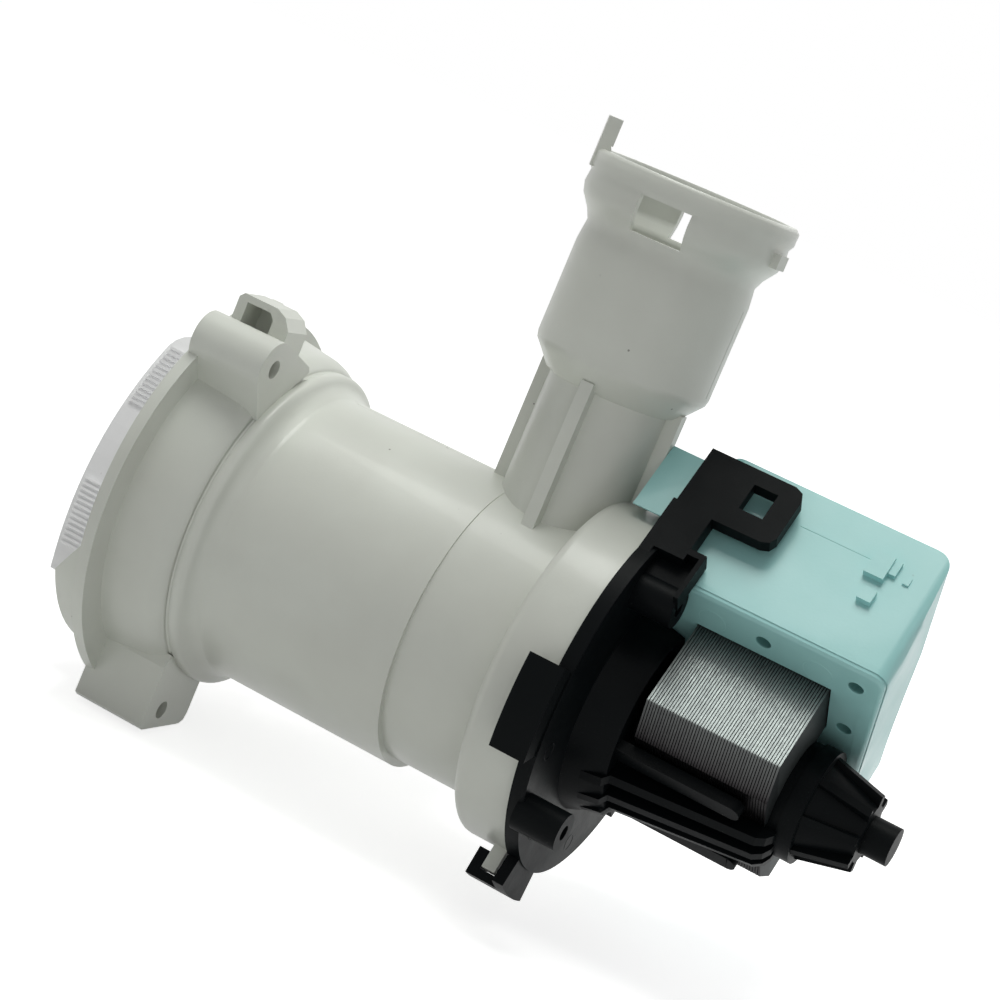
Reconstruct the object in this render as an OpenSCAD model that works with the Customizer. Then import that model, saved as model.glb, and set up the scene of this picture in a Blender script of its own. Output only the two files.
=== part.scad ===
// Washer drain pump with a screw-out lint filter.
// The main axis is Y. The origin is the centre of the front flange's front face,
// the filter knob lies towards -Y, the motor towards +Y and the outlet stub towards +Z.

/* [Filter chamber] */
// Outer radius of the front flange
flange_r = 46; // [44:0.5:50]
// Thickness of the front flange
flange_t = 2.6; // [2:0.1:4]
// Outer radius of the filter chamber behind the flange
chamber_r = 39.8; // [39.4:0.2:41]
// How much the filter chamber narrows towards the bead
chamber_taper = 1.2; // [0.8:0.1:1.6]
// Length of the filter chamber, from the flange's front face
chamber_len = 18; // [16:0.5:20]
// Length of the rounded bead behind the chamber
bead_len = 5; // [4:0.5:8]
// How far the bead stands above the main tube
bead_rise = 3.9; // [3:0.1:5]
// Wall thickness of the filter chamber
chamber_wall = 3.2; // [2.6:0.1:4]
// Outer radius of the main tube
tube_r = 32.5; // [31:0.5:34]
// Wall thickness of the main tube and the volute
tube_wall = 3; // [2.4:0.1:3.6]

/* [Impeller chamber] */
// Distance from the flange to the ridge where the impeller chamber starts
volute_y = 67; // [66:0.5:70]
// Outer radius of the impeller chamber
volute_r = 31.6; // [30.4:0.2:31.6]
// How far the impeller chamber sits above the main axis
volute_rise = 0.8; // [0:0.1:0.8]
// Length of the impeller chamber, up to the drum
volute_len = 20.5; // [20:0.5:22.5]
// Outer radius of the drum that takes the motor
drum_r = 38; // [37.5:0.5:39]
// Length of the drum
drum_len = 13.5; // [11.5:0.5:14]
// How far the drum's outside sits above the main axis
drum_rise = 1.2; // [0.8:0.1:1.4]
// Wall thickness of the drum
drum_wall = 3.2; // [3:0.1:3.6]
// Radius of the eye between the filter and the impeller
eye_r = 15; // [12:0.5:18]
// Thickness of the wall that holds the eye
eye_wall = 2.5; // [2:0.1:3.5]

/* [Outlet] */
// Distance of the outlet's axis behind the flange
outlet_y = 76.5; // [76:0.5:78]
// Bore radius of the outlet's neck
neck_bore_r = 9.8; // [8:0.1:10]
// Wall thickness of the outlet's neck
neck_wall = 3.7; // [2.5:0.1:4.5]
// Height of the bell's shoulder above the main axis
shoulder_z = 58; // [54:0.5:62]
// Outer radius of the outlet bell
bell_r = 18.9; // [17:0.1:20]
// Wall thickness of the bell
bell_wall = 2.4; // [2:0.1:3]
// Height of the outlet's mouth above the main axis
mouth_z = 102.6; // [98:0.2:108]
// Outer radius of the mouth's rim
mouth_r = 22.3; // [21:0.1:24]
// Width of the two windows below the rim
window_w = 11; // [8:0.5:12]
// Height of the two windows below the rim
window_h = 7.4; // [5:0.2:8]
// Turn of the windows about the outlet's axis
window_turn = 6; // [0:1:20]
// Height of the locating tab above the mouth
mouth_tab_h = 6.6; // [4:0.2:8]
// Width of the locating tab
mouth_tab_w = 9; // [6:0.5:11]
// Thickness of the ribs on the neck
neck_rib_t = 2.8; // [2:0.1:3.6]
// How far the ribs on the neck reach from its axis
neck_rib_r = 16.4; // [15:0.1:17.5]

/* [Inlet] */
// Distance of the inlet's axis behind the flange
inlet_y = 44; // [43.5:0.5:44.5]
// Bore radius of the inlet
inlet_bore_r = 19; // [16:0.5:19.5]
// Wall thickness of the inlet
inlet_wall = 3; // [2.4:0.1:3.4]
// Distance of the inlet's end from the main axis
inlet_reach = 54; // [50:1:60]
// How far the inlet's axis lies below the main axis
inlet_drop = 1; // [0.5:0.25:2]
// Depth of the inlet's bore, up to the seat at the chamber's port
inlet_depth = 18; // [14:0.5:20]
// How far the hose bead stands above the inlet
inlet_bead = 2.6; // [1.5:0.1:3]

/* [Screw lugs] */
// Radius of the circle that the three screw holes lie on
lug_circle_r = 45.5; // [45:0.5:47]
// Angle of the first screw hole above the +X side
lug_angle = 52; // [48:1:56]
// Radius of the screw holes
lug_hole_r = 2; // [1.5:0.1:2.5]
// Outer radius of the first lug's boss
lug_boss_r = 5.9; // [5.4:0.1:6.6]
// Length of the lugs, from the flange's front face
lug_len = 17.5; // [15:0.5:18]
// Height of the hollow ear's top above the main axis
ear_top = 46.6; // [45:0.2:48]
// Distance of the hollow ear's far side from the middle
ear_x = 12.5; // [11.5:0.5:13.5]
// Width of the hollow ear
ear_w = 8.8; // [8:0.2:9.4]

/* [Filter] */
// Outer radius of the cap's cover plate
cap_plate_r = 37; // [36:0.1:38]
// How far the grip stands in front of the flange
grip_out = 20.9; // [18:0.1:22]
// Half the length of the grip bar
grip_half_len = 30; // [26:0.5:32]
// Half the width of the grip bar at its middle
grip_half_w = 15; // [12:0.5:17]
// Half the width of the grip bar at its ends
grip_end_half_w = 9; // [7:0.5:11]
// Turn of the grip bar about the main axis
grip_turn = 17; // [0:1:45]
// Length of the cap's threaded skirt
skirt_len = 12; // [11:0.5:12]
// Length of the filter cage behind the skirt
cage_len = 45; // [36:0.5:46.5]
// Outer radius of the filter cage
cage_r = 28.2; // [25:0.2:28.4]
// Number of bars round the filter cage
cage_bars = 12; // [8:1:14]
// Radius of each cage bar
cage_bar_r = 1.7; // [1.2:0.1:2]
// Number of grip ridges on each half of the grip
grip_ridges = 13; // [6:1:15]
// How far the grip bulges out at its middle
grip_bulge = 1.4; // [0.5:0.1:2]

/* [Impeller] */
// Radius of the impeller's blades
impeller_r = 24; // [21:0.5:26]
// Length of the impeller's blades along the shaft
blade_len = 17; // [14:0.5:18]
// Number of impeller blades
blade_count = 4; // [3:1:6]
// Thickness of each blade
blade_t = 2; // [1.5:0.1:2.6]
// Radius of the driver's core on the shaft
dog_core_r = 3.6; // [3.2:0.1:4]
// Reach of the driver's lug from the shaft's axis
dog_reach = 6.6; // [6:0.1:7]
// Angle that the driver's lug covers
dog_angle = 50; // [40:2:70]

/* [Motor] */
// Thickness of the motor carrier's flange
carrier_t = 3.2; // [2.6:0.1:4]
// Outer radius of the motor carrier's flange
carrier_r = 39.5; // [39:0.5:40.5]
// How far the carrier's flange sits above the main axis
carrier_rise = 1.5; // [1:0.1:1.6]
// Turn of the motor about the main axis
motor_roll = 40; // [36:1:44]
// Outer radius of the rotor can
can_r = 11.8; // [11.4:0.1:12.4]
// Wall thickness of the rotor can
can_wall = 1.2; // [1:0.1:1.5]
// Radius of the rotor's magnet
magnet_r = 9.6; // [8.6:0.1:9.8]
// Radius of the rotor's shaft
shaft_r = 1.6; // [1.3:0.1:2]
// Distance from the carrier's flange to the stator core
stack_gap = 10.8; // [10:0.2:14]
// Length of the stator core's stack of plates
stack_len = 29.5; // [26:0.5:32]
// Half the width of the stator core
stack_half_w = 22.5; // [21:0.5:24]
// How far the core's legs reach past the shaft
leg_reach = 12; // [10:0.5:13]
// Half the width of the space between the core's legs
leg_gap_half = 8; // [7:0.25:9]
// Thickness of each coil's winding
coil_t = 4.6; // [4:0.1:4.7]
// Wall thickness of the coil bobbins
bobbin_t = 1.2; // [0.8:0.1:1.3]
// Gap between the rotor can and the coil cover
cover_gap = 0.9; // [0.8:0.1:2]
// Height of the coil cover
cover_h = 32.6; // [31:0.2:36]
// Wall thickness of the coil cover
cover_wall = 2.6; // [2:0.1:3]
// Slant of the coil cover's rear face, from one side to the other
cover_slant = 3; // [1:0.2:3.2]
// Height of the connector socket inside
socket_h = 11.6; // [11:0.1:12.4]
// Radius of the carrier's pegs
peg_r = 4; // [3:0.1:4.5]
// Length of the carrier's pegs
peg_len = 9; // [6:0.5:10]

/* [Clearances] */
// Gap between the cap's skirt and the chamber's bore
cap_fit = 0.5; // [0.4:0.05:0.8]
// Gap round the seals' outer edges where they slide
seal_fit = 0.3; // [0.25:0.05:0.4]
// Gap between moving bodies that don't touch
run_gap = 0.4; // [0.3:0.05:0.6]
// Radial clearance of a shaft in its bearing
shaft_fit = 0.05; // [0.02:0.01:0.08]
// Gap between the fixed parts that are slid together
slide_fit = 0.2; // [0.1:0.05:0.3]

/* [Hidden] */
$fn = 96;
eps = 0.01;

// Places along the main axis
bead_end = chamber_len + bead_len;
volute_end = volute_y + volute_len;
drum_end = volute_end + drum_len;
eye_y = volute_y - eye_wall - 0.5;
carrier_back = drum_end + carrier_t;
stack_front = carrier_back + stack_gap;
stack_back = stack_front + stack_len;

// Filter chamber
chamber_bore_r = chamber_r - chamber_wall;
tube_bore_r = tube_r - tube_wall;
volute_bore_r = volute_r - tube_wall;
drum_bore_r = drum_r - drum_wall;
drum_edge_r = 2.2;
neck_r = neck_bore_r + neck_wall;
lip_in_r = cap_plate_r + 0.9;
lip_r = lip_in_r + 2.4;
lip_out = 9;
collar_rise = 1.4;
window_top = mouth_z - 4.9;
inlet_seat = 1.6;

// Screw lugs
lug_angles = [lug_angle, lug_angle - 120, lug_angle + 120];
lug_front = 0.3;

// Cap
plate_back = 1.2;
plate_t = 3.4;
skirt_r = chamber_bore_r - cap_fit;
skirt_wall = 3;
seal_w = 3.4;
seal_deep = 1.9;
seal_y = plate_back + skirt_len - seal_w - 2.2;
skirt_end = plate_back + skirt_len;
cage_end = skirt_end + cage_len;

// Impeller and rotor
hub_r = dog_reach + run_gap + 1.6;
blade_back = drum_end - 12;
blade_front = blade_back - blade_len;
cup_len = 8;
cup_front = blade_back - 1;
cup_back = cup_front + cup_len;
cover_disc_t = 1.6;
stop_half = 16;
play_half = 180 - dog_angle / 2 - stop_half - 4;

// Motor
can_bore_r = can_r - can_wall;
plate_r = can_bore_r + 4;
plate_spigot_len = 3;
sleeve_wall = 2.4;
groove_w = 3;
bearing_r = shaft_r + 2.6;
mount_r = bearing_r + 2;
bearing_len = 6;
front_bearing_y = drum_end - 3.5;
rear_bearing_y = stack_back + 2.8;
can_end = stack_back + 5.6;
rear_cap_len = 11.2;
rear_stub_len = 5.8;
rear_cap_end = can_end + rear_cap_len;
leg_out = stack_half_w;
cover_low = can_r + cover_gap;
cover_half_w = stack_half_w + bobbin_t + coil_t + cover_wall + 2.9;
cover_front = stack_front - bobbin_t - coil_t - cover_wall - 2.2;
cover_back = stack_back + bobbin_t + coil_t + cover_wall + 2.7;
cover_corner = 3;
cover_far_corner = 6.4;
cover_top = cover_low + cover_h;
base_t = 2.4;
yoke_top = cover_top - cover_wall - 0.3;
yoke_low = yoke_top - 12;
coil_low = cover_low + base_t + 0.2;
coil_high = yoke_low - 0.2;

grey = [0.80, 0.80, 0.77];
white = [0.93, 0.93, 0.91];
black = [0.07, 0.07, 0.08];
mint = [0.62, 0.84, 0.81];
steel = [0.62, 0.62, 0.62];

// Turns children so that their local Z runs along the main axis, from place y
module along(y) {
    translate([0, y, 0]) rotate([-90, 0, 0]) children();
}

// Ring round the main axis
module ring(y0, y1, ro, ri) {
    along(y0) difference() {
        cylinder(h = y1 - y0, r = ro);
        translate([0, 0, -1]) cylinder(h = y1 - y0 + 2, r = ri);
    }
}

// Disc round the main axis
module disc(y0, y1, r) {
    along(y0) cylinder(h = y1 - y0, r = r);
}

// Sector of a ring, between two angles measured from +X towards +Z
module sector(y0, y1, ro, ri, a0, a1) {
    along(y0) rotate([0, 0, -a1]) rotate_extrude(angle = a1 - a0)
        translate([ri, 0]) square([ro - ri, y1 - y0]);
}

// Box given by its two corners
module block(low, high) {
    translate(low) cube([high.x - low.x, high.y - low.y, high.z - low.z]);
}

// Frame of the motor: X across the core's legs, Z towards the coils
module motor_frame() {
    rotate([0, -motor_roll, 0]) children();
}

// Outline in the X-Z plane, extruded along the main axis
module plate_xz(y0, y1) {
    translate([0, y1, 0]) rotate([90, 0, 0]) linear_extrude(height = y1 - y0) children();
}

// Points of an arc, from one angle to another
function arc(x, y, r, a0, a1, n) = [for (i = [0:n]) let(a = a0 + (a1 - a0) * i / n) [x + r * cos(a), y + r * sin(a)]];

// Outline in the radius-Y plane, extruded across one angle round the main axis
module fin(angle, t) {
    rotate([0, -angle, 0]) translate([0, 0, -t / 2]) linear_extrude(height = t) children();
}

// Outline of the bead, as shares of its length and of its height above the tube
bead_shape = [
    [0, 1], [0.07, 0.87], [0.15, 0.735], [0.235, 0.605], [0.315, 0.49], [0.4, 0.39],
    [0.48, 0.3], [0.56, 0.22], [0.645, 0.16], [0.73, 0.115], [0.865, 0.05], [1, 0]
];
// Outline of the rounded edge behind the chamber: distance before the groove and below the chamber
chamber_edge = [[3.9, 0], [2.5, 0.4], [1.3, 1.1], [0.4, 1.8]];
module tube_outside() {
    groove_y = chamber_len - 1.3;
    bead_span = bead_end + 1 - groove_y;
    rotate([-90, 0, 0]) rotate_extrude() polygon([
        [0, 0],
        [flange_r, 0],
        [flange_r, flange_t],
        [chamber_r, flange_t],
        for (p = chamber_edge) [chamber_r - chamber_taper - p[1], groove_y - p[0]],
        [tube_r + bead_rise - 0.6, groove_y - 0.2],
        for (p = bead_shape) [tube_r + bead_rise * p[1], groove_y + bead_span * p[0]],
        [tube_r, volute_y],
        [0, volute_y]
    ]);
}

module volute_outside() {
    translate([0, 0, volute_rise]) disc(volute_y - 2, volute_end + 1, volute_r);
    // The drum's front edge is rounded
    translate([0, 0, drum_rise]) along(volute_end) rotate_extrude() polygon(concat(
        [[0, 0]],
        arc(drum_r - drum_edge_r, drum_edge_r, drum_edge_r, -90, 0, 5),
        [[drum_r, drum_len], [0, drum_len]]
    ));
}

// First lug: a round boss on a web whose far side slopes down to the chamber
module round_lug() {
    rotate([0, -lug_angles[0], 0]) {
        translate([lug_circle_r, 0, 0]) disc(lug_front, lug_len, lug_boss_r);
        plate_xz(lug_front, lug_len) polygon([
            [chamber_r - 4, -lug_boss_r],
            [lug_circle_r, -lug_boss_r],
            [lug_circle_r + 0.577 * lug_boss_r, 0.816 * lug_boss_r],
            [chamber_r - 2.6, 2.15 * lug_boss_r],
            [chamber_r - 4, 2.15 * lug_boss_r]
        ]);
    }
}

// The other two lugs: square feet with one rounded corner
module square_lug(angle) {
    rotate([0, -angle, 0]) plate_xz(lug_front, lug_len) polygon([
        [chamber_r - 4.5, -9.4],
        [lug_circle_r - 3, -12.2],
        [lug_circle_r - 1.4, -12.3],
        [lug_circle_r - 0.2, -11.4],
        [lug_circle_r + 0.4, -10.2],
        [lug_circle_r + 5.9, 3.6],
        [lug_circle_r + 5.6, 5],
        [chamber_r - 1.4, 9.8],
        [chamber_r - 4.5, 9.8]
    ]);
}

// Hollow ear beside the first lug, closed on its far side
module hollow_ear() {
    wall = 1.5;
    back = 14;
    low = chamber_r - 9;
    translate([ear_x, 0, 0]) rotate([90, 0, 90]) difference() {
        linear_extrude(height = ear_w) polygon([
            [0.6, low],
            [0.6, ear_top - 1],
            [1.6, ear_top],
            [9.8, ear_top],
            [back - 1.7, ear_top - 1.1],
            [back, ear_top - 3.6],
            [back, low]
        ]);
        translate([0, 0, wall]) linear_extrude(height = ear_w) polygon([
            [flange_t + 0.3, low - 1],
            [flange_t + 0.3, ear_top - wall],
            [8.6, ear_top - wall],
            [9.8, ear_top - wall - 1.2],
            [9.8, low - 1]
        ]);
    }
}

// Lip in front of the flange that guards the lower side of the cap
module front_lip() {
    difference() {
        sector(-lip_out, 1, lip_r, lip_in_r, -162, -5);
        // The lip's upper end slants down towards its front edge
        rotate([0, 20.5, 0]) translate([lip_in_r - 6, 0, 0]) rotate([90, 0, 90]) linear_extrude(height = 12)
            polygon([[0.6, 7.5], [-lip_out - 1, -lip_out], [-lip_out - 1, 16], [0.6, 16]]);
    }
    ring(-collar_rise, 1, lip_r + 1.4, lip_in_r - 1);
}

module outlet_outside() {
    translate([0, outlet_y, 0]) rotate_extrude() polygon([
        [0, 10],
        [neck_r, 10],
        [neck_r, shoulder_z - 0.6],
        [neck_r + 1.2, shoulder_z],
        [bell_r - 0.3, shoulder_z + 4.6],
        [bell_r, shoulder_z + 6],
        [bell_r, mouth_z - 18.6],
        [bell_r - 0.5, mouth_z - 14.2],
        [bell_r + 0.4, mouth_z - 12.2],
        [mouth_r - 1, mouth_z - 9.4],
        [mouth_r - 0.4, mouth_z - 7.2],
        [mouth_r - 0.7, mouth_z - 4.6],
        [mouth_r, mouth_z - 3.4],
        [mouth_r, mouth_z - 0.8],
        [mouth_r - 0.8, mouth_z],
        [0, mouth_z]
    ]);
    for (a = [0:90:270]) {
        translate([0, outlet_y, 0]) rotate([0, 0, a])
            block([neck_r - 2, -neck_rib_t / 2, 24], [neck_rib_r, neck_rib_t / 2, shoulder_z + 1.4]);
    }
    // Locating tab and the catch below the rim
    translate([0, outlet_y, 0]) rotate([0, 0, -68])
        block([mouth_r - 3, -mouth_tab_w / 2, mouth_z - 4], [mouth_r, mouth_tab_w / 2, mouth_z + mouth_tab_h]);
    translate([0, outlet_y, 0]) rotate([0, 0, 84])
        block([mouth_r - 3, -2, mouth_z - 8.6], [mouth_r + 0.9, 2, mouth_z - 5.6]);
}

module outlet_inside() {
    translate([0, outlet_y, 0]) {
        translate([0, 0, 12]) cylinder(h = shoulder_z, r = neck_bore_r);
        rotate_extrude() polygon([
            [0, shoulder_z + 1],
            [neck_bore_r, shoulder_z + 1],
            [bell_r - bell_wall - 1, shoulder_z + 5.4],
            [bell_r - bell_wall, shoulder_z + 6.4],
            [bell_r - bell_wall, mouth_z - 13.4],
            [mouth_r - 0.7 - bell_wall, mouth_z - 9],
            [mouth_r - 0.7 - bell_wall, mouth_z - 1],
            [mouth_r + 0.3 - bell_wall, mouth_z + 1],
            [0, mouth_z + 1]
        ]);
        rotate([0, 0, window_turn])
            block([-mouth_r - 5, -window_w / 2, window_top - window_h], [mouth_r + 5, window_w / 2, window_top]);
    }
}

// Inlet on the side away from the camera
module inlet_outside() {
    translate([0, inlet_y, -inlet_drop]) rotate([0, -90, 0]) {
        cylinder(h = inlet_reach, r = inlet_bore_r + inlet_wall);
        translate([0, 0, inlet_reach - 4.5]) cylinder(h = 3, r = inlet_bore_r + inlet_wall + inlet_bead);
        translate([0, 0, inlet_reach - 7]) cylinder(
            h = 2.5, r1 = inlet_bore_r + inlet_wall, r2 = inlet_bore_r + inlet_wall + inlet_bead
        );
    }
}

// Catches on the drum that the motor carrier locks behind
claw_angles = [2, 126, 210];
catch_rise = 3.6;
catch_y = drum_end - 2.4;
snap_y = drum_end - 4.4;
module drum_catches() {
    for (a = claw_angles) sector(catch_y, drum_end - 0.4, drum_r + catch_rise, drum_r - 2.2, a - 11, a + 11);
    sector(snap_y, snap_y + 3, drum_r + 4.2, drum_r - 2.2, -74, -64);
}

module pump_housing() {
    color(grey) difference() {
        union() {
            tube_outside();
            volute_outside();
            inlet_outside();
            outlet_outside();
            front_lip();
            hollow_ear();
            drum_catches();
            round_lug();
            square_lug(lug_angles[1]);
            square_lug(lug_angles[2]);
        }
        // The flange is cut back to its collar beside the ear
        sector(-1, flange_t + 1, flange_r + 1, lip_r + 2, lug_angle + 32, lug_angle + 100);
        disc(-20, plate_back + run_gap, lip_in_r - 0.3);
        disc(-20, skirt_end + 0.5, chamber_bore_r);
        disc(0, eye_y, tube_bore_r);
        disc(0, drum_end, eye_r);
        translate([0, 0, volute_rise]) disc(eye_y + eye_wall, volute_end + 3, volute_bore_r);
        disc(volute_end + drum_wall, drum_end + 1, drum_bore_r);
        translate([0, inlet_y, -inlet_drop]) rotate([0, -90, 0]) {
            translate([0, 0, tube_bore_r - 12]) cylinder(h = inlet_reach, r = inlet_bore_r - inlet_seat);
            translate([0, 0, inlet_reach - inlet_depth]) cylinder(h = inlet_depth + 1, r = inlet_bore_r);
        }
        outlet_inside();
        for (a = lug_angles) rotate([0, -a, 0]) translate([lug_circle_r, 0, 0]) disc(-1, lug_len + 1, lug_hole_r);
    }
}

// Outline of the grip bar: two shallow arcs and straight ends
function grip_outline() = [
    for (i = [-8:8]) let(u = i / 8) [
        grip_end_half_w + (grip_half_w - grip_end_half_w) * (1 - u * u), u * grip_half_len
    ],
    for (i = [-8:8]) let(u = -i / 8) [
        -grip_end_half_w - (grip_half_w - grip_end_half_w) * (1 - u * u), u * grip_half_len
    ]
];

// Outline of the grip bar seen from the side: a domed front and rounded ends
module grip_side() {
    base = plate_back - plate_t + eps;
    front = grip_out - grip_bulge;
    translate([-30, 0, 0]) rotate([90, 0, 90]) linear_extrude(height = 60) polygon(concat(
        [[base, -grip_half_len], [-front, -grip_half_len]],
        [for (i = [-9:7]) let(u = i / 10) [-front - grip_bulge * (1 - u * u), u * grip_half_len]],
        [for (a = [10:20:90]) [
            -front + 4.4 - 4.9 * cos(a), 0.79 * grip_half_len + 0.17 * grip_half_len * sin(a)
        ]],
        [[base, 0.97 * grip_half_len]]
    ));
}

module filter_cap() {
    ridge_first = 0.32 * grip_half_len;
    ridge_pitch = 0.48 * grip_half_len / (grip_ridges - 1);
    color(white) difference() {
        union() {
            disc(plate_back - plate_t, plate_back + eps, cap_plate_r);
            ring(plate_back, skirt_end, skirt_r, skirt_r - skirt_wall);
            rotate([0, -grip_turn, 0]) {
                intersection() {
                    plate_xz(-grip_out, plate_back - plate_t + eps) polygon(grip_outline());
                    grip_side();
                }
                // Grip ridges on both long sides
                for (side = [-1, 1]) for (end = [-1, 1]) for (i = [0:grip_ridges - 1]) {
                    z = end * (ridge_first + i * ridge_pitch);
                    u = z / grip_half_len;
                    x = side * (grip_end_half_w + (grip_half_w - grip_end_half_w) * (1 - u * u));
                    front = grip_out - grip_bulge * u * u;
                    block([x - 0.5, -front + 1, z - 0.28], [x + 0.5, plate_back - plate_t + eps, z + 0.28]);
                }
            }
        }
        // Groove for the seal
        ring(seal_y, seal_y + seal_w, skirt_r + 1, skirt_r - seal_deep);
        // Finger hollow on each side of the grip's web
        rotate([0, -grip_turn, 0]) for (side = [-1, 1])
            translate([side * 0.5 * grip_half_w, 0, 0]) plate_xz(-grip_out - 1, -grip_out + 9) square(
                [grip_half_w * 0.5, grip_half_len * 1.5], center = true
            );
    }
}

module filter_seal() {
    color([0.16, 0.16, 0.17]) along(seal_y + slide_fit) rotate_extrude() polygon([
        [skirt_r - seal_deep + shaft_fit, 0],
        [skirt_r - 0.4, 0],
        [chamber_bore_r - seal_fit, (seal_w - 2 * slide_fit) * 0.3],
        [chamber_bore_r - seal_fit, (seal_w - 2 * slide_fit) * 0.7],
        [skirt_r - 0.4, seal_w - 2 * slide_fit],
        [skirt_r - seal_deep + shaft_fit, seal_w - 2 * slide_fit]
    ]);
}

module filter_cage() {
    ring_r = skirt_r - skirt_wall - slide_fit;
    color(white) {
        difference() {
            union() {
                ring(plate_back + 3, skirt_end - 1, ring_r, ring_r - 2.4);
                // Shoulder that leads from the skirt's ring down to the bars
                along(skirt_end - 3) rotate_extrude() polygon([
                    [cage_r - 2 * cage_bar_r, 0], [ring_r - 0.5, 0], [ring_r - 0.5, 1.2],
                    [cage_r, 3.4], [cage_r - 2 * cage_bar_r, 3.4]
                ]);
            }
            disc(plate_back, skirt_end + 6, cage_r - 2 * cage_bar_r - 1);
        }
        for (i = [0:cage_bars - 1]) rotate([0, i * 360 / cage_bars + 15, 0])
            translate([cage_r - cage_bar_r, 0, 0]) disc(skirt_end - 2, cage_end - 1, cage_bar_r);
        ring(skirt_end + cage_len * 0.5 - 1, skirt_end + cage_len * 0.5 + 1, cage_r, cage_r - 2 * cage_bar_r);
        ring(cage_end - 2.4, cage_end, cage_r, eye_r - 1);
    }
}

// One curved blade, from the hub out to the impeller's radius
module blade() {
    arc_r = impeller_r * 0.62;
    intersection() {
        plate_xz(blade_front, blade_back) translate([impeller_r * 0.5, -arc_r * 0.8]) difference() {
            circle(r = arc_r + blade_t / 2);
            circle(r = arc_r - blade_t / 2);
        }
        plate_xz(blade_front - 1, blade_back + 1) difference() {
            intersection() {
                circle(r = impeller_r);
                translate([0, -6]) square([impeller_r + 1, impeller_r + 6]);
            }
            circle(r = hub_r - 1.2);
        }
    }
}

module impeller() {
    color([0.86, 0.86, 0.84]) difference() {
        union() {
            disc(blade_front, cup_back, hub_r);
            disc(blade_back - 1.8, blade_back, impeller_r);
            for (i = [0:blade_count - 1]) rotate([0, i * 360 / blade_count, 0]) blade();
        }
        disc(blade_front + 2, cup_back + 1, shaft_r + shaft_fit);
        difference() {
            disc(cup_front, cup_back + 1, dog_reach + run_gap);
            // Stop that the driver's lug pushes, opposite the lug at rest
            sector(cup_front - 1, cup_back - cover_disc_t - 0.2, dog_reach + run_gap + 0.2, dog_core_r + run_gap, 180 - stop_half, 180 + stop_half);
        }
    }
}

module coupling_cover() {
    color([0.75, 0.75, 0.74]) ring(
        cup_back - cover_disc_t, cup_back, dog_reach + run_gap - 0.02, dog_core_r - 0.8
    );
}

module drive_dog() {
    color([0.3, 0.3, 0.32]) difference() {
        union() {
            disc(cup_front + run_gap, cup_back - cover_disc_t - run_gap, dog_core_r);
            sector(
                cup_front + run_gap, cup_back - cover_disc_t - run_gap, dog_reach, dog_core_r - 0.5,
                -dog_angle / 2, dog_angle / 2
            );
        }
        disc(cup_front - 1, cup_back + 1, shaft_r);
    }
}

module rotor_shaft() {
    color([0.78, 0.79, 0.8]) disc(blade_front + 2 + run_gap, rear_bearing_y + bearing_len + 0.6, shaft_r);
}

module rotor_sleeve() {
    color([0.2, 0.2, 0.22]) ring(
        stack_front - 1.6, stack_back + 0.8, shaft_r + sleeve_wall, shaft_r
    );
}

module rotor_magnet() {
    color([0.22, 0.21, 0.2]) ring(
        stack_front - 0.6, stack_back + 0.2, magnet_r, shaft_r + sleeve_wall
    );
}

module front_bearing() {
    color([0.85, 0.83, 0.78]) ring(front_bearing_y, front_bearing_y + bearing_len, bearing_r, shaft_r + shaft_fit);
}

module front_bearing_mount() {
    color([0.12, 0.12, 0.13]) {
        ring(front_bearing_y, front_bearing_y + bearing_len, mount_r, bearing_r);
    }
}

// Plate that closes the rotor's chamber and holds the front bearing
module bearing_plate() {
    color([0.15, 0.15, 0.16]) difference() {
        union() {
            disc(drum_end - 1.4, carrier_back - 1.2, plate_r - slide_fit);
            disc(front_bearing_y, front_bearing_y + bearing_len + 1.2, mount_r + 1.8);
            ring(
                carrier_back - 1.3, carrier_back + plate_spigot_len, can_bore_r - slide_fit,
                can_bore_r - slide_fit - can_wall
            );
        }
        disc(front_bearing_y - 1, front_bearing_y + bearing_len, mount_r);
        disc(front_bearing_y - 1, carrier_back + plate_spigot_len + 1, shaft_r + 0.6);
    }
}

module rear_bearing() {
    color([0.85, 0.83, 0.78]) ring(rear_bearing_y, rear_bearing_y + bearing_len, bearing_r, shaft_r + shaft_fit);
}

module rear_bearing_mount() {
    color([0.12, 0.12, 0.13]) ring(rear_bearing_y, rear_bearing_y + bearing_len, mount_r, bearing_r);
}

module thrust_washer() {
    color([0.8, 0.76, 0.6]) ring(
        stack_back + 0.8 + run_gap, stack_back + 1.6 + run_gap, bearing_r - 0.4, shaft_r + shaft_fit
    );
}

// Claws of the carrier that turn in behind the drum's catches
module carrier_claws() {
    claw_in = drum_r + catch_rise + 0.4;
    for (a = claw_angles) {
        sector(catch_y - 2.6, carrier_back - 0.4, claw_in + 2.2, claw_in, a - 13, a + 13);
        sector(catch_y - 2.6, catch_y - 0.3, claw_in + 1, drum_r + drum_rise + 0.4, a - 13, a + 13);
        sector(drum_end + 0.3, carrier_back - 0.4, claw_in + 2.2, carrier_r - 2, a - 13, a + 13);
    }
}

// Snap hook at the bottom that keeps the carrier from turning back
module snap_hook() {
    hook_in = drum_r + 4.6;
    sector(drum_end + 0.3, carrier_back - 0.4, hook_in + 2, carrier_r - 2, -80, -58);
    sector(snap_y - 2.6, carrier_back - 0.4, hook_in + 2, hook_in, -73, -65);
    sector(snap_y - 2.6, snap_y - 0.3, hook_in + 1, drum_r + 0.6, -73, -65);
}

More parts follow.
